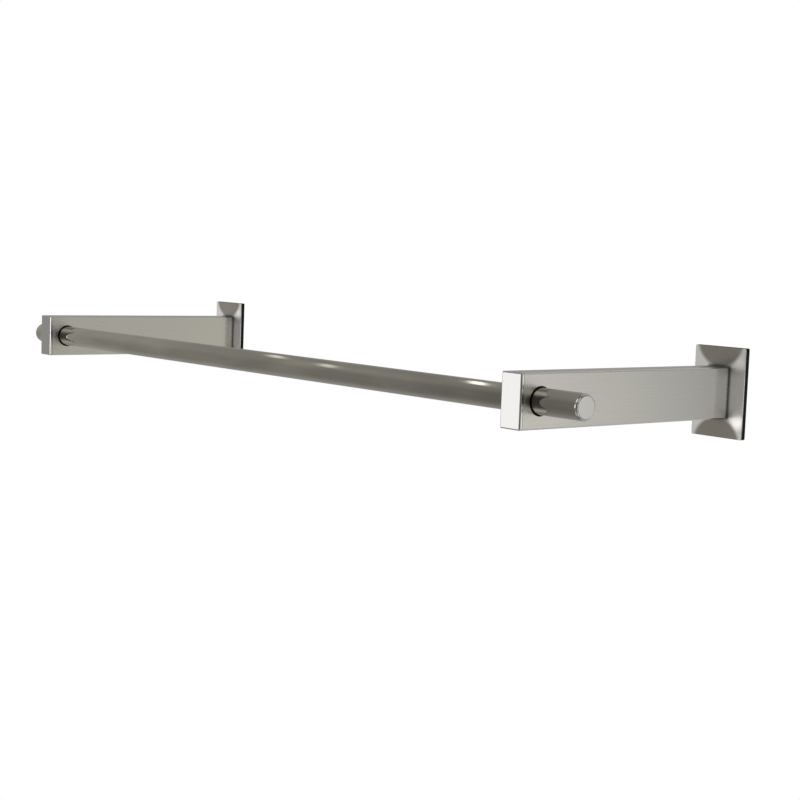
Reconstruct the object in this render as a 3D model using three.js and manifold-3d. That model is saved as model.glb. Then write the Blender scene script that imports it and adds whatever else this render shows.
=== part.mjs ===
// Wall mounted clothes valet: two arms of rectangular tube stand off the wall on hidden spigots,
// and a round rail passes through both and ends in a peg on each side.
// Millimetres, +Z up. X runs along the rail, +Y into the wall. The origin lies on the wall,
// midway between the arms, at the arms' mid height.

import * as THREE from 'three';
import { mergeVertices } from 'three/addons/utils/BufferGeometryUtils.js';
import Module from 'manifold-3d';

// Driving dimensions of the whole valet
const ARM_SPACING = 900; // centre to centre
const ARM_REACH = 289; // from the face plate to the arm's front face
const PEG_RIGHT = 57; // rail beyond the right arm's outer face
const PEG_LEFT = 42.5; // rail beyond the left arm's outer face

// Arm tube
const ARM_HEIGHT = 52;
const ARM_THICKNESS = 26;
const TUBE_WALL = 2;
const TUBE_CORNER = 1.6;
const TUBE_INNER_CORNER = 0.6;

// Front block: a closing face with a body that fills the end of the tube
const FRONT_FACE_DEPTH = 3;
const FRONT_FACE_ROUNDING = 1.4;
const FRONT_BODY_DEPTH = 46;

// Rail, its end caps and the sleeves that line its holes
const RAIL_DIAMETER = 25;
const RAIL_WALL = 1.5;
const RAIL_SETBACK = 25; // from the arm's front face to the rail's axis
const CAP_LIP = 3;
const CAP_ROUNDING = 2.7;
const CAP_PLUG_DEPTH = 14;
const CAP_PLUG_LEAD = 1;
const SLEEVE_WALL = 0.8;
const SLEEVE_CHAMFER = 0.2;

// Wall plates
const PLATE_WIDTH = 64;
const PLATE_HEIGHT = 92;
const PLATE_CORNER = 1.5;
const FACE_PLATE_THICKNESS = 0.8;
const FACE_PLATE_EDGE = 0.4;
const BRACKET_THICKNESS = 5;

// Spigot on the bracket
const SPIGOT_DEPTH = 48;
const SPIGOT_CORNER = 1.2;
const SPIGOT_LEAD = 1;

// Wall screw holes in the bracket
const WALL_HOLE = { diameter: 5.2, head: 9.2 };
const WALL_HOLE_INSET = 11; // from the plate's edges to a hole's axis

// Countersunk screws from the bracket's back into the spigot
const SPIGOT_SCREW = {
  diameter: 5, head: 9.2, length: 20, socket: 3, socketDepth: 1.6, recess: 0.2,
};
const SPIGOT_SCREW_INSET = 9.2; // from the spigot's top or bottom to a screw's axis

// Countersunk screws from below that hold the arm on the spigot
const ARM_SCREW = {
  diameter: 4, head: 7.4, length: 14, socket: 2.5, socketDepth: 1.3, recess: 0.1,
};
const ARM_SCREW_BEYOND = 4; // from the spigot screws' points to the first arm screw
const ARM_SCREW_PITCH = 16;

// Set screw from below that locks the rail
const LOCK_SCREW = { diameter: 6, socket: 3, socketDepth: 3, recess: 0.8, pointChamfer: 1.2 };

// Clearances
const FIT_GAP = 0.3; // between pieces that slide together
const SCREW_GAP = 0.1; // round a screw in its hole
const FRONT_SEAM_GAP = 0.4; // shadow line between the front block's face and the tube
const WALL_SEAM_GAP = 0.8; // shadow line between the tube and the face plate
const CUT_OVERRUN = 1; // how far a cutting tool passes beyond a face

// Facets
const ROUND_SIDES = 64;
const SCREW_SIDES = 20;
const SOCKET_SIDES = 6;
const CORNER_STEPS = 4;
const RIM_STEPS = 3;
const LEAST_CORNER = 0.1; // radius left on a corner whose rim is rounded away

// Places that follow from the sizes
const BRACKET_FACE_Y = -BRACKET_THICKNESS;
const PLATE_FACE_Y = BRACKET_FACE_Y - FACE_PLATE_THICKNESS;
const FRONT_Y = PLATE_FACE_Y - ARM_REACH;
const FRONT_FACE_BACK_Y = FRONT_Y + FRONT_FACE_DEPTH;
const TUBE_FRONT_Y = FRONT_FACE_BACK_Y + FRONT_SEAM_GAP;
const TUBE_BACK_Y = PLATE_FACE_Y - WALL_SEAM_GAP;
const RAIL_Y = FRONT_Y + RAIL_SETBACK;
const RAIL_RADIUS = RAIL_DIAMETER / 2;
const RAIL_RIGHT_X = (ARM_SPACING + ARM_THICKNESS) / 2 + PEG_RIGHT - CAP_LIP;
const RAIL_LEFT_X = CAP_LIP - (ARM_SPACING + ARM_THICKNESS) / 2 - PEG_LEFT;
const SLEEVE_BORE = RAIL_RADIUS + FIT_GAP;
const SLEEVE_RADIUS = SLEEVE_BORE + SLEEVE_WALL;
const TUBE_INNER_HEIGHT = ARM_HEIGHT - 2 * TUBE_WALL;
const TUBE_INNER_THICKNESS = ARM_THICKNESS - 2 * TUBE_WALL;
const TENON_HEIGHT = TUBE_INNER_HEIGHT - 2 * FIT_GAP;
const TENON_THICKNESS = TUBE_INNER_THICKNESS - 2 * FIT_GAP;
const ARM_BOTTOM_Z = -ARM_HEIGHT / 2;
const SPIGOT_SCREW_END_Y = -(SPIGOT_SCREW.recess + SPIGOT_SCREW.length);
const ARM_SCREW_REAR_Y = SPIGOT_SCREW_END_Y - ARM_SCREW_BEYOND - ARM_SCREW.diameter / 2;
const ARM_SCREW_YS = [ARM_SCREW_REAR_Y, ARM_SCREW_REAR_Y - ARM_SCREW_PITCH];
const SPIGOT_SCREW_Z = TENON_HEIGHT / 2 - SPIGOT_SCREW_INSET;
const SPIGOT_SCREW_ZS = [SPIGOT_SCREW_Z, -SPIGOT_SCREW_Z];
const WALL_HOLE_X = PLATE_WIDTH / 2 - WALL_HOLE_INSET;
const WALL_HOLE_Z = PLATE_HEIGHT / 2 - WALL_HOLE_INSET;

const wasm = await Module();
wasm.setup();

// Solids and booleans

function signedVolume(position, index) {
  const corners = [new THREE.Vector3(), new THREE.Vector3(), new THREE.Vector3()];
  let volume = 0;
  for (let i = 0; i < index.length; i += 3) {
    corners.forEach((corner, k) => corner.fromBufferAttribute(position, index[i + k]));
    volume += corners[0].dot(corners[1].clone().cross(corners[2])) / 6;
  }
  return volume;
}

// Merges a geometry's corners, drops its empty triangles and turns its faces outwards.
function toSolid(geometry) {
  const bare = geometry.clone();
  bare.deleteAttribute('normal');
  bare.deleteAttribute('uv');
  const merged = mergeVertices(bare);
  const corners = merged.index.array;
  const triangles = [];
  for (let i = 0; i < corners.length; i += 3) {
    const [a, b, c] = corners.slice(i, i + 3);
    if (a !== b && b !== c && c !== a) {
      triangles.push(a, b, c);
    }
  }
  const position = merged.attributes.position;
  const outward = signedVolume(position, triangles) > 0;
  return new wasm.Manifold(new wasm.Mesh({
    numProp: 3,
    vertProperties: new Float32Array(position.array),
    triVerts: new Uint32Array(outward ? triangles : triangles.reverse()),
  }));
}

function toGeometry(solid) {
  const mesh = solid.getMesh();
  const geometry = new THREE.BufferGeometry();
  geometry.setAttribute('position', new THREE.BufferAttribute(new Float32Array(mesh.vertProperties), 3));
  geometry.setIndex(new THREE.BufferAttribute(new Uint32Array(mesh.triVerts), 1));
  const faceted = geometry.toNonIndexed();
  faceted.computeVertexNormals();
  return faceted;
}

function cut(solid, tools) {
  return tools.reduce((rest, tool) => rest.subtract(toSolid(tool)), solid);
}

// Shapes

// A rectangle with rounded corners, drawn about the origin.
function roundedRectangle(width, height, radius, PathType = THREE.Shape) {
  const x = width / 2 - radius;
  const y = height / 2 - radius;
  const outline = new PathType();
  outline.absarc(x, y, radius, 0, Math.PI / 2);
  outline.absarc(-x, y, radius, Math.PI / 2, Math.PI);
  outline.absarc(-x, -y, radius, Math.PI, 1.5 * Math.PI);
  outline.absarc(x, -y, radius, 1.5 * Math.PI, 2 * Math.PI);
  outline.closePath();
  return outline;
}

// Lays an extrusion down so that it starts at y = back and grows towards the room.
function layAlongArm(geometry, back) {
  geometry.rotateX(Math.PI / 2);
  geometry.translate(0, back, 0);
  return geometry;
}

function bar(outline, back, front) {
  const depth = back - front;
  return layAlongArm(new THREE.ExtrudeGeometry(outline, {
    depth, bevelEnabled: false, curveSegments: CORNER_STEPS,
  }), back);
}

// A bar whose front rim is rounded. Its back rim is cut square from a longer blank.
function roundFrontedBar(width, height, corner, rounding, back, front) {
  const rim = Math.min(rounding, corner);
  const innerCorner = Math.max(corner - rim, LEAST_CORNER);
  const outline = roundedRectangle(width - 2 * rim, height - 2 * rim, innerCorner);
  const blank = new THREE.ExtrudeGeometry(outline, {
    depth: back - front, bevelEnabled: true, bevelThickness: rim, bevelSize: rim,
    bevelSegments: RIM_STEPS, curveSegments: CORNER_STEPS,
  });
  layAlongArm(blank, back + rim);
  const waste = bar(roundedRectangle(2 * width, 2 * height, corner), back + 2 * rim + CUT_OVERRUN, back);
  return cut(toSolid(blank), [waste]);
}

// Revolves [radius, height] points about the vertical axis, with the heights along +Z.
function turned(profile, sides) {
  const points = profile.map(([radius, height]) => new THREE.Vector2(radius, height));
  const geometry = new THREE.LatheGeometry(points, sides);
  geometry.rotateX(Math.PI / 2);
  return geometry;
}

function rod(radius, low, high, sides) {
  return turned([[0, low], [radius, low], [radius, high], [0, high]], sides);
}

function ring(bore, radius, low, high, chamfer) {
  return turned([
    [bore, low], [radius - chamfer, low], [radius, low + chamfer],
    [radius, high - chamfer], [radius - chamfer, high], [bore, high], [bore, low],
  ], ROUND_SIDES);
}

function alongRail(geometry) {
  return geometry.rotateY(Math.PI / 2).translate(0, RAIL_Y, 0);
}

// A countersunk screw with its head's top at the origin and its point towards -Z.
function countersunkScrew({ diameter, head, length, socket, socketDepth }) {
  const sink = (head - diameter) / 2;
  const body = turned([
    [0, -length], [diameter / 2, -length], [diameter / 2, -sink], [head / 2, 0], [0, 0],
  ], SCREW_SIDES);
  return cut(toSolid(body), [hexagon(socket, -socketDepth, CUT_OVERRUN)]);
}

// The hole of that screw, which widens to its head and stays open beyond it.
function countersunkHole({ diameter, head }, length, clearance) {
  const sink = (head - diameter) / 2;
  const shank = diameter / 2 + clearance;
  const mouth = head / 2 + clearance;
  return turned([
    [0, -length], [shank, -length], [shank, -sink], [mouth, 0], [mouth, CUT_OVERRUN], [0, CUT_OVERRUN],
  ], SCREW_SIDES);
}

function hexagon(acrossFlats, low, high) {
  return rod(acrossFlats / 2 / Math.cos(Math.PI / SOCKET_SIDES), low, high, SOCKET_SIDES);
}

// Places of the screws and of their holes, which are made about the origin

function atSpigotScrew(geometry, z) {
  return geometry.rotateX(-Math.PI / 2).translate(0, -SPIGOT_SCREW.recess, z);
}

function atArmScrew(geometry, y) {
  return geometry.rotateX(Math.PI).translate(0, y, ARM_BOTTOM_Z + ARM_SCREW.recess);
}

function spigotScrewHoles() {
  const length = SPIGOT_SCREW.length + SCREW_GAP;
  return SPIGOT_SCREW_ZS.map((z) => atSpigotScrew(countersunkHole(SPIGOT_SCREW, length, SCREW_GAP), z));
}

function armScrewHoles() {
  const length = ARM_SCREW.length + SCREW_GAP;
  return ARM_SCREW_YS.map((y) => atArmScrew(countersunkHole(ARM_SCREW, length, SCREW_GAP), y));
}

function lockScrewHole() {
  const radius = LOCK_SCREW.diameter / 2 + SCREW_GAP;
  const hole = rod(radius, ARM_BOTTOM_Z - CUT_OVERRUN, CUT_OVERRUN - RAIL_RADIUS, SCREW_SIDES);
  return hole.translate(0, RAIL_Y, 0);
}

function sleeveHole() {
  const reach = ARM_THICKNESS / 2 + CUT_OVERRUN;
  return alongRail(rod(SLEEVE_RADIUS + FIT_GAP, -reach, reach, ROUND_SIDES));
}

// Pieces of one arm, made at x = 0

function armTube() {
  const outline = roundedRectangle(ARM_THICKNESS, ARM_HEIGHT, TUBE_CORNER);
  outline.holes.push(roundedRectangle(
    TUBE_INNER_THICKNESS, TUBE_INNER_HEIGHT, TUBE_INNER_CORNER, THREE.Path));
  const tube = toSolid(bar(outline, TUBE_BACK_Y, TUBE_FRONT_Y));
  return cut(tube, [sleeveHole(), lockScrewHole(), ...armScrewHoles()]);
}

function frontBlock() {
  const face = roundFrontedBar(
    ARM_THICKNESS, ARM_HEIGHT, TUBE_CORNER, FRONT_FACE_ROUNDING, FRONT_FACE_BACK_Y, FRONT_Y);
  const outline = roundedRectangle(TENON_THICKNESS, TENON_HEIGHT, TUBE_INNER_CORNER);
  const body = toSolid(bar(outline, FRONT_FACE_BACK_Y + FRONT_BODY_DEPTH, FRONT_FACE_BACK_Y));
  return cut(face.add(body), [sleeveHole(), lockScrewHole()]);
}

function railSleeve() {
  const reach = ARM_THICKNESS / 2;
  const sleeve = alongRail(ring(SLEEVE_BORE, SLEEVE_RADIUS, -reach, reach, SLEEVE_CHAMFER));
  return cut(toSolid(sleeve), [lockScrewHole()]);
}

function railLockScrew() {
  const { diameter, socket, socketDepth, recess, pointChamfer } = LOCK_SCREW;
  const radius = diameter / 2;
  const low = ARM_BOTTOM_Z + recess;
  const high = -RAIL_RADIUS - SCREW_GAP;
  const body = turned([
    [0, low], [radius, low], [radius, high - pointChamfer], [radius - pointChamfer, high], [0, high],
  ], SCREW_SIDES);
  const screwed = cut(toSolid(body), [hexagon(socket, low - CUT_OVERRUN, low + socketDepth)]);
  return screwed.translate(0, RAIL_Y, 0);
}

function facePlate() {
  const plate = roundFrontedBar(
    PLATE_WIDTH, PLATE_HEIGHT, PLATE_CORNER, FACE_PLATE_EDGE, BRACKET_FACE_Y, PLATE_FACE_Y);
  const outline = roundedRectangle(TUBE_INNER_THICKNESS, TUBE_INNER_HEIGHT, TUBE_INNER_CORNER);
  return cut(plate, [bar(outline, CUT_OVERRUN, PLATE_FACE_Y - CUT_OVERRUN)]);
}

function wallBracket() {
  const plate = toSolid(bar(roundedRectangle(PLATE_WIDTH, PLATE_HEIGHT, PLATE_CORNER), 0, BRACKET_FACE_Y));
  const wallHoles = [];
  for (const x of [-WALL_HOLE_X, WALL_HOLE_X]) {
    for (const z of [-WALL_HOLE_Z, WALL_HOLE_Z]) {
      const hole = countersunkHole(WALL_HOLE, BRACKET_THICKNESS + CUT_OVERRUN, 0);
      wallHoles.push(hole.rotateX(Math.PI / 2).translate(x, BRACKET_FACE_Y, z));
    }
  }
  return cut(plate, [...wallHoles, ...spigotScrewHoles()]);
}

function spigot() {
  const front = BRACKET_FACE_Y - SPIGOT_DEPTH;
  const block = roundFrontedBar(
    TENON_THICKNESS, TENON_HEIGHT, SPIGOT_CORNER, SPIGOT_LEAD, BRACKET_FACE_Y, front);
  return cut(block, [...spigotScrewHoles(), ...armScrewHoles()]);
}

// Rail and caps

function rail() {
  const tube = ring(RAIL_RADIUS - RAIL_WALL, RAIL_RADIUS, RAIL_LEFT_X, RAIL_RIGHT_X, 0);
  return toSolid(alongRail(tube));
}

// A plug for the rail's end with a round-edged lip. Its lip grows along +X from the rail's end.
function endCap() {
  const plug = RAIL_RADIUS - RAIL_WALL - FIT_GAP;
  const profile = [
    [0, -CAP_PLUG_DEPTH], [plug - CAP_PLUG_LEAD, -CAP_PLUG_DEPTH], [plug, CAP_PLUG_LEAD - CAP_PLUG_DEPTH],
    [plug, 0], [RAIL_RADIUS, 0],
  ];
  for (let step = 0; step <= CORNER_STEPS; step += 1) {
    const turn = (step / CORNER_STEPS) * (Math.PI / 2);
    profile.push([
      RAIL_RADIUS - CAP_ROUNDING + CAP_ROUNDING * Math.cos(turn),
      CAP_LIP - CAP_ROUNDING + CAP_ROUNDING * Math.sin(turn),
    ]);
  }
  profile.push([0, CAP_LIP]);
  return toSolid(alongRail(turned(profile, ROUND_SIDES)));
}

// Finishes, each a fresh material for its mesh

const finish = (color, roughness, metalness) => () => (
  new THREE.MeshStandardMaterial({ color, roughness, metalness }));
const satinSteel = finish(0xb6b4af, 0.32, 1);
const polishedSteel = finish(0xa9a7a2, 0.12, 1);
const blackCoatedSteel = finish(0x131313, 0.55, 0.2);
const blackNylon = finish(0x0d0d0d, 0.5, 0);
const aluminium = finish(0xa7a9ab, 0.45, 1);
const plainSteel = finish(0x8b8d8f, 0.35, 1);

function part(name, solid, material) {
  const mesh = new THREE.Mesh(toGeometry(solid), material);
  mesh.name = name;
  return mesh;
}

function screw(name, spec, place, at) {
  const mesh = part(name, countersunkScrew(spec), plainSteel());
  place(mesh.geometry, at);
  return mesh;
}

function arm(side) {
  const group = new THREE.Group();
  group.add(
    part(`arm_tube_${side}`, armTube(), satinSteel()),
    part(`front_block_${side}`, frontBlock(), satinSteel()),
    part(`rail_sleeve_${side}`, railSleeve(), blackNylon()),
    part(`rail_lock_screw_${side}`, railLockScrew(), plainSteel()),
    part(`face_plate_${side}`, facePlate(), satinSteel()),
    part(`wall_bracket_${side}`, wallBracket(), blackCoatedSteel()),
    part(`spigot_${side}`, spigot(), aluminium()),
    screw(`spigot_screw_upper_${side}`, SPIGOT_SCREW, atSpigotScrew, SPIGOT_SCREW_ZS[0]),
    screw(`spigot_screw_lower_${side}`, SPIGOT_SCREW, atSpigotScrew, SPIGOT_SCREW_ZS[1]),
    screw(`arm_screw_rear_${side}`, ARM_SCREW, atArmScrew, ARM_SCREW_YS[0]),
    screw(`arm_screw_fore_${side}`, ARM_SCREW, atArmScrew, ARM_SCREW_YS[1]),
  );
  return group;
}

const valet = new THREE.Group();

const leftArm = arm('left');
leftArm.position.x = -ARM_SPACING / 2;
const rightArm = arm('right');
rightArm.position.x = ARM_SPACING / 2;

const rightCap = part('end_cap_right', endCap(), satinSteel());
rightCap.position.x = RAIL_RIGHT_X;
const leftCap = part('end_cap_left', endCap(), satinSteel());
leftCap.geometry.rotateZ(Math.PI).translate(0, 2 * RAIL_Y, 0);
leftCap.position.x = RAIL_LEFT_X;

valet.add(leftArm, rightArm, part('rail', rail(), polishedSteel()), leftCap, rightCap);

export default valet;
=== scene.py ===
"""Looks of the wall mounted clothes valet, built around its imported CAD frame."""

import math

import bpy
from mathutils import Matrix, Vector


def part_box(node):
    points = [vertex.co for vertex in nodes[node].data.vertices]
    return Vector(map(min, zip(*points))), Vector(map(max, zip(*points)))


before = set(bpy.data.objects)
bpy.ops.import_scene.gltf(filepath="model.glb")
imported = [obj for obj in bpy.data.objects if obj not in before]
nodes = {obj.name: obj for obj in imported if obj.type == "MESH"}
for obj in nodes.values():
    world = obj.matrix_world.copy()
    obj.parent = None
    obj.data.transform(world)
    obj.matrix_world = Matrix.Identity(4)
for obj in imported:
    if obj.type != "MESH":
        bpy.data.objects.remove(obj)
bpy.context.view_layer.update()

# Lengths are in metres, azimuths and elevations in degrees, colours linear
MM = 0.001
SIDES = ("left", "right")
WHITE = (1, 1, 1, 1)


def direction(azimuth, elevation):
    """A unit vector. Azimuth runs from the front, -Y, towards the left, -X."""
    turn, rise = math.radians(azimuth), math.radians(elevation)
    return (-math.sin(turn) * math.cos(rise), -math.cos(turn) * math.cos(rise), math.sin(rise))


def both(kind):
    """The names of a left and right pair of pieces."""
    return [f"{kind}_{side}" for side in SIDES]


# Camera

IMAGE_PIXELS = 800
FOCAL_PIXELS = 1573.6
SENSOR_WIDTH = 36.0  # millimetres
CLIP_NEAR = 0.05
CLIP_FAR = 60.0
CAMERA_PLACE = Vector((1.46694, -1.26584, 0.12986))
# Radians
CAMERA_TURN = 0.87885  # from +Y towards -X
CAMERA_DIP = 0.09452  # below the horizon
CAMERA_ROLL = 0.03791


def add_camera():
    data = bpy.data.cameras.new("camera")
    data.sensor_width = SENSOR_WIDTH
    data.lens = FOCAL_PIXELS * SENSOR_WIDTH / IMAGE_PIXELS
    data.clip_start = CLIP_NEAR
    data.clip_end = CLIP_FAR
    forward = Vector((
        -math.sin(CAMERA_TURN) * math.cos(CAMERA_DIP),
        math.cos(CAMERA_TURN) * math.cos(CAMERA_DIP),
        -math.sin(CAMERA_DIP),
    ))
    level_right = forward.cross(Vector((0, 0, 1))).normalized()
    level_up = level_right.cross(forward)
    right = math.cos(CAMERA_ROLL) * level_right + math.sin(CAMERA_ROLL) * level_up
    up = right.cross(forward)
    turn = Matrix((right, up, -forward)).transposed()
    camera = bpy.data.objects.new("camera", data)
    camera.matrix_world = Matrix.Translation(CAMERA_PLACE) @ turn.to_4x4()
    bpy.context.scene.collection.objects.link(camera)
    bpy.context.scene.camera = camera


# Node trees

# Sockets of the Mix node when it mixes colours
MIX_INPUTS = (0, 6, 7)
MIX_RESULT = 2


class Tree:
    """A short way to add and join shader nodes."""

    def __init__(self, tree):
        self.tree = tree
        self.tree.nodes.clear()

    def add(self, kind, inputs=None, **settings):
        node = self.tree.nodes.new(kind)
        for name, value in settings.items():
            setattr(node, name, value)
        for name, value in (inputs or {}).items():
            self.put(node.inputs[name], value)
        return node

    def put(self, socket, value):
        if isinstance(value, bpy.types.NodeSocket):
            self.tree.links.new(value, socket)
        else:
            socket.default_value = value

    def math(self, operation, *values):
        node = self.add("ShaderNodeMath", operation=operation)
        for socket, value in zip(node.inputs, values):
            self.put(socket, value)
        return node.outputs[0]

    def distance(self, first, second):
        """The length of a vector that has these two parts."""
        squares = [self.math("MULTIPLY", part, part) for part in (first, second)]
        return self.math("SQRT", self.math("ADD", *squares))

    def dot(self, vector, fixed):
        node = self.add("ShaderNodeVectorMath", operation="DOT_PRODUCT")
        self.put(node.inputs[0], vector)
        self.put(node.inputs[1], fixed)
        return node.outputs["Value"]

    def scaled(self, vector, scale):
        node = self.add("ShaderNodeVectorMath", operation="MULTIPLY")
        self.put(node.inputs[0], vector)
        self.put(node.inputs[1], scale)
        return node.outputs[0]

    def ramp(self, value, start, end, low, high, kind="SMOOTHSTEP"):
        node = self.add("ShaderNodeMapRange", interpolation_type=kind)
        for name, given in zip(("Value", "From Min", "From Max", "To Min", "To Max"),
                               (value, start, end, low, high)):
            self.put(node.inputs[name], given)
        return node.outputs["Result"]

    def glow(self, facing, towards, inner, outer, strength):
        """The strength within the inner angle of a direction, which fades out at the outer."""
        along = self.dot(facing, towards)
        faded = math.cos(math.radians(outer))
        full = math.cos(math.radians(inner))
        return self.ramp(along, faded, full, 0.0, strength)

    def mixed(self, factor, first, second):
        node = self.add("ShaderNodeMix", data_type="RGBA")
        for number, value in zip(MIX_INPUTS, (factor, first, second)):
            self.put(node.inputs[number], value)
        return node.outputs[MIX_RESULT]

    def noise(self, vector, scale, detail=2.0, roughness=0.5):
        node = self.add("ShaderNodeTexNoise", {
            "Vector": vector, "Scale": scale, "Detail": detail, "Roughness": roughness})
        return node.outputs["Fac"]


# Room: what the metal mirrors, and the white backdrop that the camera sees instead

BACKDROP_LEVEL = 1.0
ROOM_LEVEL = 0.21
ROOM_COLOUR = (1.0, 0.985, 0.95, 1)
# The warmer side, which the left arm mirrors: azimuth, elevation, full and faded radius
WARM_SIDE = (-123, -5, 4, 13)
WARM_COLOUR = (1.0, 0.98, 0.83, 1)
# Soft glows, or a dark patch where the strength is below zero:
# azimuth, elevation, full radius, faded radius, strength
GLOWS = (
    (-115, -5, 15, 29, 0.39),
    (-133, -5, 2, 10.5, 0.72),
    (-170, 48, 15, 45, 0.4),
    (-160, -45, 15, 45, 0.4),
    (-77, 37, 5, 20, 1.0),
    (-82, -40, 5, 20, 1.15),
    (-50, 5, 18, 38, -0.15),
    (130, -30, 10, 50, 0.10),
    (85, 0, 10, 40, 0.19),
    (100, 45, 15, 60, 0.10),
    (0, 0, 15, 50, 0.11),
    (170, 0, 25, 60, 0.13),
    (110, -60, 15, 55, 0.04),
)
# Thin lamps, each bent round the X axis:
# azimuth, elevation, half length, half width along X, strength
LAMPS = (
    (97, 42.19, 16, 0.3, 3.0),
    (95, 34.96, 14, 0.25, 1.1),
    (74, 34, 14, 0.25, 1.1),
)
LAMP_CORE_SHARE = 0.2  # of a lamp's length has its full strength


def room_level(tree, facing):
    level = ROOM_LEVEL
    for azimuth, elevation, inner, outer, strength in GLOWS:
        glow = tree.glow(facing, direction(azimuth, elevation), inner, outer, strength)
        level = tree.math("ADD", level, glow)
    across = tree.dot(facing, (1, 0, 0))
    for azimuth, elevation, length, width, strength in LAMPS:
        towards = direction(azimuth, elevation)
        core = LAMP_CORE_SHARE * length
        stretch = tree.glow(facing, towards, core, length, strength)
        off_axis = tree.math("ABSOLUTE", tree.math("SUBTRACT", across, towards[0]))
        slit = tree.ramp(off_axis, 0.0, math.radians(width), 1.0, 0.0)
        level = tree.math("ADD", level, tree.math("MULTIPLY", stretch, slit))
    return level


def room_colour(tree, facing):
    azimuth, elevation, inner, outer = WARM_SIDE
    warmth = tree.glow(facing, direction(azimuth, elevation), inner, outer, 1.0)
    return tree.mixed(warmth, ROOM_COLOUR, WARM_COLOUR)


def build_world():
    world = bpy.data.worlds.new("studio")
    bpy.context.scene.world = world
    world.use_nodes = True
    tree = Tree(world.node_tree)
    facing = tree.add("ShaderNodeTexCoord").outputs["Generated"]
    level = room_level(tree, facing)
    colour = room_colour(tree, facing)
    room = tree.add("ShaderNodeBackground", {"Color": colour, "Strength": level})
    backdrop = tree.add("ShaderNodeBackground", {"Color": WHITE, "Strength": BACKDROP_LEVEL})
    seen = tree.add("ShaderNodeLightPath").outputs["Is Camera Ray"]
    shown = tree.add("ShaderNodeMixShader", {0: seen, 1: room.outputs[0], 2: backdrop.outputs[0]})
    tree.add("ShaderNodeOutputWorld", {"Surface": shown.outputs[0]})


# Floor: only the camera sees it, as more of the backdrop

FLOOR_HEIGHT = -2.4
FLOOR_SIDE = 60.0


def new_material(name):
    material = bpy.data.materials.new(name)
    material.use_nodes = True
    return material, Tree(material.node_tree)


def pale_floor():
    material, tree = new_material("pale_floor")
    paint = tree.add("ShaderNodeEmission", {"Color": WHITE, "Strength": BACKDROP_LEVEL})
    tree.add("ShaderNodeOutputMaterial", {"Surface": paint.outputs[0]})
    return material


def add_floor():
    half = FLOOR_SIDE / 2
    mesh = bpy.data.meshes.new("floor")
    corners = [(x * half, y * half, FLOOR_HEIGHT) for x, y in ((-1, -1), (1, -1), (1, 1), (-1, 1))]
    mesh.from_pydata(corners, [], [(0, 1, 2, 3)])
    mesh.materials.append(pale_floor())
    floor = bpy.data.objects.new("floor", mesh)
    bpy.context.scene.collection.objects.link(floor)
    floor.visible_glossy = False
    floor.visible_diffuse = False
    floor.visible_shadow = False


# Softboxes: each lights only the pieces that it is made for

# Front faces, which mirror this one towards the camera
FRONT_LIGHT_DISTANCE = 1.2
FRONT_LIGHT_WIDTH = 0.36
FRONT_LIGHT_HEIGHT = 0.5
FRONT_LIGHT_WATTS = 0.71
# The edge of the left front face
EDGE_LIGHT_AIM = (-25, -5)  # azimuth, elevation
EDGE_LIGHT_DISTANCE = 1.5
EDGE_LIGHT_WIDTH = 1.2
EDGE_LIGHT_HEIGHT = 0.4
EDGE_LIGHT_WATTS = 4.4
# The wall plates: azimuth, elevation, watts
PLATE_LIGHTS = (
    (44, -5, 135.0),
    (-53, -5, 48.0),
)
PLATE_LIGHT_DISTANCE = 6.0
PLATE_LIGHT_WIDTH = 8.0
PLATE_LIGHT_HEIGHT = 5.0
PLATE_LIGHT_COLOUR = (0.97, 0.98, 1.0)
# The rounded rims of the end caps: azimuth, elevation, side, watts
CAP_LIGHTS = (
    (8, 5, 1.3, 9.0),
    (-5, 48, 1.4, 10.0),
    (-10, -50, 1.7, 5.5),
    (-165, 0, 2.5, 7.4),
    (150, 0, 2.0, 5.0),
    (-78, 0, 2.0, 5.5),
)
CAP_LIGHT_DISTANCE = 3.0


def softbox(name, place, target, width, height, watts, lit_nodes, colour=WHITE[:3]):
    """An area light that only the given nodes mirror, and that nothing shades."""
    data = bpy.data.lights.new(name, "AREA")
    data.shape = "RECTANGLE"
    data.size = width
    data.size_y = height
    data.energy = watts
    data.color = colour
    data.use_shadow = False
    light = bpy.data.objects.new(name, data)
    light.location = place
    light.rotation_mode = "QUATERNION"
    light.rotation_quaternion = (Vector(target) - Vector(place)).to_track_quat("-Z", "Y")
    light.visible_camera = False
    bpy.context.scene.collection.objects.link(light)
    lit = bpy.data.collections.new(name + "_lit")
    bpy.context.scene.collection.children.link(lit)
    for node in lit_nodes:
        lit.objects.link(nodes[node])
    light.light_linking.receiver_collection = lit


def light_front_faces():
    low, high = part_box("front_block_right")
    face = Vector(((low.x + high.x) / 2, low.y, 0))
    towards_face = (face - CAMERA_PLACE).normalized()
    mirrored = Vector((towards_face.x, -towards_face.y, towards_face.z))
    place = face + FRONT_LIGHT_DISTANCE * mirrored
    softbox("front_softbox", place, face, FRONT_LIGHT_WIDTH, FRONT_LIGHT_HEIGHT,
            FRONT_LIGHT_WATTS, both("front_block"))
    left_face = Vector((-face.x, face.y, 0))
    place = left_face + EDGE_LIGHT_DISTANCE * Vector(direction(*EDGE_LIGHT_AIM))
    softbox("edge_softbox", place, left_face, EDGE_LIGHT_WIDTH, EDGE_LIGHT_HEIGHT,
            EDGE_LIGHT_WATTS, ["front_block_left"])


def light_caps():
    low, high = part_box("rail")
    middle = (low + high) / 2
    for number, (azimuth, elevation, side, watts) in enumerate(CAP_LIGHTS):
        place = middle + CAP_LIGHT_DISTANCE * Vector(direction(azimuth, elevation))
        softbox(f"cap_softbox_{number}", place, middle, side, side, watts, both("end_cap"))


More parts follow.
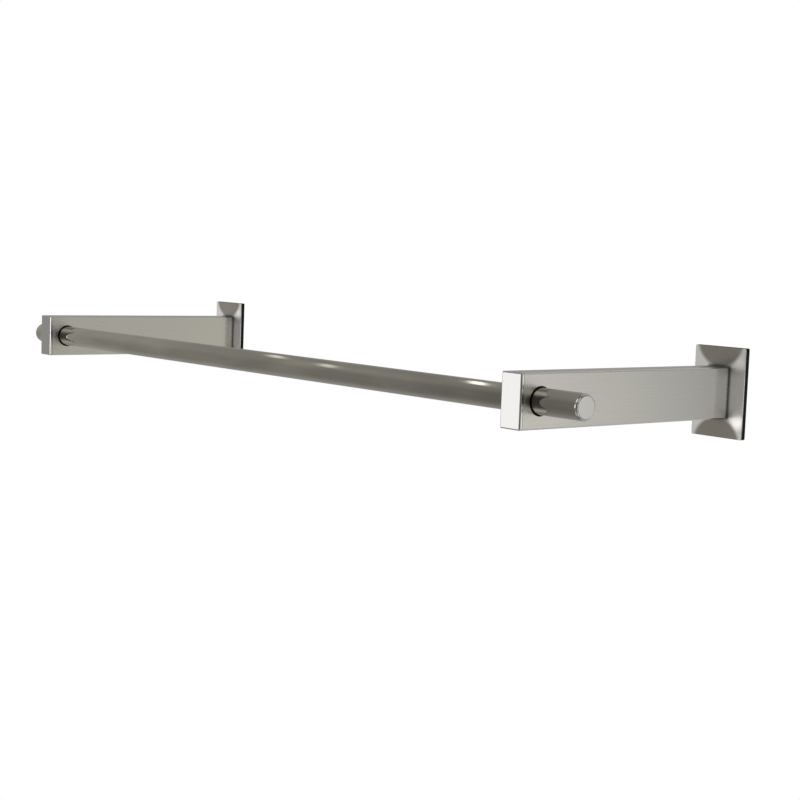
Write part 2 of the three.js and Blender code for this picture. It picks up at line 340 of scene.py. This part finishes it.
def light_plates():
    low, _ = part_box("face_plate_right")
    middle = Vector((0, low.y, 0))
    for azimuth, elevation, watts in PLATE_LIGHTS:
        place = middle + PLATE_LIGHT_DISTANCE * Vector(direction(azimuth, elevation))
        softbox(f"plate_softbox_{azimuth}", place, middle, PLATE_LIGHT_WIDTH,
                PLATE_LIGHT_HEIGHT, watts, both("face_plate"), PLATE_LIGHT_COLOUR)


def add_lights():
    light_front_faces()
    light_caps()
    light_plates()


# Tones of the steel by place: painted shade, painted reflections and painted highlights. A tone is
# what the colour is multiplied with.

# Painted shade: the soft dark line at the joint of an arm and its wall plate, where the corner lies
# in shadow
SEAM_SHADE_REACH = 3.2 * MM
SEAM_SHADE_TONE = 0.35
# Painted reflection: the dark patch ahead of a rail hole, a blurred mirror image of the rail
# painted into the colour
HOLE_SHADE_AHEAD = 7 * MM
HOLE_SHADE_REACH = (6 * MM, 15 * MM)
HOLE_SHADE_TONE = 0.66
# The mottle of the rail, uneven tone that also stands in as painted faint reflections of the room
MOTTLE_SCALE = (9, 45, 45)  # patches per metre along X, Y and Z
MOTTLE_NOISE = (0.35, 0.65)  # the noise values that the tones are spread over
MOTTLE_TONES = (0.88, 1.12)
# Painted reflection: the dull lobes of a wall plate, above and below the arm's middle line
LOBE_HEIGHT = 46 * MM  # of the lobe's wide end over that line
LOBE_HALF_WIDTH = 29 * MM
LOBE_DEPTH = 23 * MM
LOBE_BOW = 1.6  # 1 is a triangle, 2 an ellipse
LOBE_EDGE_SHARES = (0.76, 1.1)  # of its outline, where it begins and ends to fade
LOBE_COLOUR = (0.195, 0.184, 0.163, 1)
# The painted reflection of the flanks beside the arm gives way to that of the corners between these
# heights
FLANK_HEIGHTS = (14 * MM, 26 * MM)
FLANK_TONE = 1.02
CORNER_TONE = 0.54
# Painted highlights, bright wedges beside the arm's corners: rightwards, upwards, tone
WEDGES = (
    (27 * MM, 27 * MM, 0.78),
    (26 * MM, -27 * MM, 1.08),
)
WEDGE_REACH = (3 * MM, 13 * MM)


def from_middle(tree, place):
    """A point as seen from the middle line of its own arm: rightwards, Y and upwards."""
    low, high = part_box("arm_tube_right")
    x, y, z = tree.add("ShaderNodeSeparateXYZ", {"Vector": place}).outputs
    arm_line = tree.math("MULTIPLY", tree.math("SIGN", x), (low.x + high.x) / 2)
    return tree.math("SUBTRACT", x, arm_line), y, z


def painted_seam_shade(tree, place):
    """Paints shade over the last few millimetres before the joint of an arm and its wall plate."""
    low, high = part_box("arm_tube_right")
    across, y, rise = from_middle(tree, place)
    height = tree.math("ABSOLUTE", rise)
    beside = tree.math("SUBTRACT", tree.math("ABSOLUTE", across), (high.x - low.x) / 2)
    above = tree.math("SUBTRACT", height, high.z)
    ahead = tree.math("SUBTRACT", high.y, y)
    away = tree.math("MAXIMUM", ahead, tree.math("MAXIMUM", beside, above))
    return tree.ramp(away, 0.0, SEAM_SHADE_REACH, SEAM_SHADE_TONE, 1.0)


def lobe_outline(tree, across, height):
    """Below 1 inside the nearer dull lobe of painted reflection on a wall plate, and above 1
    outside.
    """
    sideways = tree.math("DIVIDE", tree.math("ABSOLUTE", across), LOBE_HALF_WIDTH)
    inward = tree.math("DIVIDE", tree.math("SUBTRACT", LOBE_HEIGHT, height), LOBE_DEPTH)
    return tree.math("ADD", tree.math("POWER", sideways, LOBE_BOW),
                     tree.math("POWER", tree.math("MAXIMUM", inward, 0.0), LOBE_BOW))


def corner_tone(tree, across, rise):
    """The painted reflection in a wall plate's corners, with the painted highlight wedges in them.
    """
    tone = CORNER_TONE
    for wedge_across, wedge_rise, wedge_tone in WEDGES:
        beyond = tree.math("SUBTRACT", across, wedge_across)
        over = tree.math("SUBTRACT", rise, wedge_rise)
        away = tree.distance(beyond, over)
        wedge = tree.ramp(away, *WEDGE_REACH, wedge_tone, CORNER_TONE)
        tone = tree.math("MAXIMUM", tone, wedge)
    return tone


def painted_hourglass_reflection(tree, place):
    """The hourglass of reflections that a wall plate's turned steel shows round the arm, painted
    into its colour.
    """
    across, _, rise = from_middle(tree, place)
    height = tree.math("ABSOLUTE", rise)
    outline = lobe_outline(tree, across, height)
    corner = corner_tone(tree, across, rise)
    flank = tree.ramp(height, *FLANK_HEIGHTS, FLANK_TONE, corner)
    outside = tree.ramp(outline, *LOBE_EDGE_SHARES, 0.0, 1.0)
    return tree.mixed(outside, LOBE_COLOUR, flank)


def painted_rail_reflection(tree, place):
    """Paints a dark, blurred reflection of the rail onto the steel just ahead of a rail hole."""
    low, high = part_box("rail_sleeve_right")
    _, y, z = tree.add("ShaderNodeSeparateXYZ", {"Vector": place}).outputs
    behind = tree.math("SUBTRACT", y, (low.y + high.y) / 2 - HOLE_SHADE_AHEAD)
    away = tree.distance(behind, z)
    return tree.ramp(away, *HOLE_SHADE_REACH, HOLE_SHADE_TONE, 1.0)


def mottle_and_painted_reflection(tree, place):
    """The faint uneven tone along a polished tube, painted as soft reflections of the room."""
    patches = tree.noise(tree.scaled(place, MOTTLE_SCALE), 1.0)
    return tree.ramp(patches, *MOTTLE_NOISE, *MOTTLE_TONES, "LINEAR")


# Finishes

NOISE_RANGE = (0.2, 0.8)  # the noise values that a roughness is spread over
# Steel: fine streaks, and soft clouds over them
GRAIN_EVEN = (900, 900, 900)  # streaks per metre along X, Y and Z
GRAIN_ALONG_X = (12, 900, 900)
GRAIN_ALONG_Y = (900, 12, 900)
GRAIN_DETAIL = 3.0
GRAIN_ROUGHNESS = 0.6
GRAIN_HEIGHT = 0.02 * MM
CLOUD_SCALE = 18.0  # clouds per metre
GRAIN_SHARE = 0.7
CLOUD_SHARE = 0.3
STEEL_NOISE = (0.3, 0.7)  # the noise values that the tones are spread over
STEEL_TONES = (0.97, 1.03)
STEEL_ROUGHNESS_SHARES = (0.85, 1.15)
QUARTER_TURN = 0.25  # of a whole turn
ROUND_X = "X"
ROUND_Y = "Y"
ACROSS_ARM = (1, 0, 1)  # square to the arm's length on its side faces and on its upper one
# Black coating and nylon: a fine orange peel
PEEL_DETAIL = 3.0
PEEL_TONES = (0.7, 1.3)
PEEL_STRENGTH = 0.3
PEEL_HEIGHT = 0.05 * MM
PEEL_ROUGHNESS_SHARES = (0.9, 1.1)
PEEL_SPECULAR = 0.2


def toned(colour, tone):
    """A colour at another tone, no part of it over 1."""
    return (*[min(1.0, tone * part) for part in colour], 1)


def turn_glints(tree, shader, tangent):
    """Sets which way glints stretch: by a turn round an axis, or by one fixed direction."""
    if tangent in (ROUND_X, ROUND_Y):
        turn = tree.add("ShaderNodeTangent", direction_type="RADIAL", axis=tangent)
        tree.put(shader.inputs["Tangent"], turn.outputs[0])
        rotation = QUARTER_TURN if tangent == ROUND_Y else 0.0
        shader.inputs["Anisotropic Rotation"].default_value = rotation
    elif tangent:
        fixed = tree.add("ShaderNodeCombineXYZ", dict(zip("XYZ", tangent)))
        tree.put(shader.inputs["Tangent"], fixed.outputs[0])


def steel(name, colour, roughness, bump, anisotropy=0.0, tangent=None, grain=GRAIN_EVEN, shades=()):
    """Brushed, turned or polished metal, darkened or brightened by place with the given shades,
    which paint shade, reflections and highlights into its colour.
    """
    material, tree = new_material(name)
    place = tree.add("ShaderNodeTexCoord").outputs["Object"]
    streaks = tree.noise(tree.scaled(place, grain), 1.0, GRAIN_DETAIL, GRAIN_ROUGHNESS)
    clouds = tree.noise(place, CLOUD_SCALE)
    blend = tree.math("ADD", tree.math("MULTIPLY", streaks, GRAIN_SHARE),
                      tree.math("MULTIPLY", clouds, CLOUD_SHARE))
    dark, light = [toned(colour, tone) for tone in STEEL_TONES]
    shown = tree.mixed(tree.ramp(blend, *STEEL_NOISE, 0.0, 1.0, "LINEAR"), dark, light)
    # The shades paint shade, reflections and highlights into the colour
    for shade in shades:
        shown = tree.scaled(shown, shade(tree, place))
    relief = tree.add("ShaderNodeBump", {
        "Strength": bump, "Distance": GRAIN_HEIGHT, "Height": streaks})
    smoother, rougher = [share * roughness for share in STEEL_ROUGHNESS_SHARES]
    shader = tree.add("ShaderNodeBsdfPrincipled", {
        "Base Color": shown,
        "Metallic": 1.0,
        "Roughness": tree.ramp(blend, *NOISE_RANGE, smoother, rougher, "LINEAR"),
        "Anisotropic": anisotropy,
        "Normal": relief.outputs[0],
    })
    turn_glints(tree, shader, tangent)
    tree.add("ShaderNodeOutputMaterial", {"Surface": shader.outputs[0]})
    return material


def matte(name, colour, roughness, speckle):
    """Black coating or nylon. speckle has the pimples per metre of its orange peel."""
    material, tree = new_material(name)
    place = tree.add("ShaderNodeTexCoord").outputs["Object"]
    peel = tree.noise(place, speckle, PEEL_DETAIL)
    dark, light = [toned(colour, tone) for tone in PEEL_TONES]
    shown = tree.mixed(peel, dark, light)
    relief = tree.add("ShaderNodeBump", {
        "Strength": PEEL_STRENGTH, "Distance": PEEL_HEIGHT, "Height": peel})
    smoother, rougher = [share * roughness for share in PEEL_ROUGHNESS_SHARES]
    shader = tree.add("ShaderNodeBsdfPrincipled", {
        "Base Color": shown,
        "Metallic": 0.0,
        "Roughness": tree.ramp(peel, *NOISE_RANGE, smoother, rougher, "LINEAR"),
        "Specular IOR Level": PEEL_SPECULAR,
        "Normal": relief.outputs[0],
    })
    tree.add("ShaderNodeOutputMaterial", {"Surface": shader.outputs[0]})
    return material


def arm_satin():
    return steel("arm_satin", (0.62, 0.612, 0.588), roughness=0.28, bump=0.03, anisotropy=0.8,
                 tangent=ACROSS_ARM, grain=GRAIN_ALONG_Y, shades=[painted_seam_shade, painted_rail_reflection])


def front_satin():
    return steel("front_satin", (0.66, 0.655, 0.64), roughness=0.2, bump=0.1)


def plate_turned():
    return steel("plate_turned", (0.92, 0.895, 0.84), roughness=0.4, bump=0.0, anisotropy=0.6,
                 tangent=ROUND_Y, shades=[painted_seam_shade, painted_hourglass_reflection])


def rail_polished():
    return steel("rail_polished", (0.56, 0.532, 0.472), roughness=0.08, bump=0.0, anisotropy=1.0,
                 tangent=ROUND_X, grain=GRAIN_ALONG_X, shades=[mottle_and_painted_reflection])


def cap_polished():
    return steel("cap_polished", (0.5, 0.497, 0.492), roughness=0.2, bump=0.1)


def screw_steel():
    return steel("screw_steel", (0.45, 0.45, 0.45), roughness=0.3, bump=0.2)


def spigot_aluminium():
    return steel("spigot_aluminium", (0.75, 0.75, 0.76), roughness=0.4, bump=0.3, anisotropy=0.3,
                 tangent=ACROSS_ARM, grain=GRAIN_ALONG_Y)


def black_coating():
    return matte("black_coating", (0.004, 0.004, 0.004), roughness=0.6, speckle=1500)


def black_nylon():
    return matte("black_nylon", (0.004, 0.004, 0.004), roughness=0.5, speckle=900)


def paint_nodes():
    screw = screw_steel()
    finishes = {
        "arm_tube": arm_satin(),
        "front_block": front_satin(),
        "face_plate": plate_turned(),
        "wall_bracket": black_coating(),
        "spigot": spigot_aluminium(),
        "spigot_screw": screw,
        "arm_screw": screw,
        "rail": rail_polished(),
        "rail_sleeve": black_nylon(),
        "rail_lock_screw": screw,
        "end_cap": cap_polished(),
    }
    for name, node in nodes.items():
        # The longest name that fits, so that a rail_sleeve isn't taken for a rail
        kind = max((start for start in finishes if name.startswith(start)), key=len)
        node.data.materials.clear()
        node.data.materials.append(finishes[kind])


# Edges: merges the facets, rounds sharp edges a little and smooths round faces

WELD_DISTANCE = 0.001 * MM
FLAT_BELOW = math.radians(0.2)
SMOOTH_BELOW = math.radians(32)
ROUNDED_ABOVE = math.radians(40)
ROUNDING_SEGMENTS = 2
EDGE_ROUNDING = {"wall_bracket": 0.2 * MM, "arm_tube": 0.15 * MM}


def smooth_group():
    group = bpy.data.node_groups.new("smooth_round_faces", "GeometryNodeTree")
    group.interface.new_socket("Geometry", in_out="INPUT", socket_type="NodeSocketGeometry")
    group.interface.new_socket("Geometry", in_out="OUTPUT", socket_type="NodeSocketGeometry")
    add, link = group.nodes.new, group.links.new
    given, made = add("NodeGroupInput"), add("NodeGroupOutput")
    faces = add("GeometryNodeSetShadeSmooth")
    edges = add("GeometryNodeSetShadeSmooth")
    edges.domain = "EDGE"
    edges.inputs["Shade Smooth"].default_value = False
    angle = add("GeometryNodeInputMeshEdgeAngle")
    sharp = add("ShaderNodeMath")
    sharp.operation = "GREATER_THAN"
    sharp.inputs[1].default_value = SMOOTH_BELOW
    link(angle.outputs["Unsigned Angle"], sharp.inputs[0])
    link(sharp.outputs[0], edges.inputs["Selection"])
    link(given.outputs[0], faces.inputs["Geometry"])
    link(faces.outputs[0], edges.inputs["Geometry"])
    link(edges.outputs[0], made.inputs[0])
    return group


def round_edges(node, width):
    bevel = node.modifiers.new("bevel", "BEVEL")
    bevel.width = width
    bevel.segments = ROUNDING_SEGMENTS
    bevel.limit_method = "ANGLE"
    bevel.angle_limit = ROUNDED_ABOVE


def dress_edges():
    group = smooth_group()
    rounded = {name: width for kind, width in EDGE_ROUNDING.items() for name in both(kind)}
    for name, node in nodes.items():
        weld = node.modifiers.new("weld", "WELD")
        weld.merge_threshold = WELD_DISTANCE
        flat = node.modifiers.new("flat", "DECIMATE")
        flat.decimate_type = "DISSOLVE"
        flat.angle_limit = FLAT_BELOW
        if name in rounded:
            round_edges(node, rounded[name])
        smooth = node.modifiers.new("smooth", "NODES")
        smooth.node_group = group
        normals = node.modifiers.new("normals", "WEIGHTED_NORMAL")
        normals.keep_sharp = True


# Film

def set_film():
    view = bpy.context.scene.view_settings
    view.view_transform = "Standard"
    view.look = "None"
    view.exposure = 0
    view.gamma = 1


add_camera()
build_world()
add_floor()
add_lights()
paint_nodes()
dress_edges()
set_film()
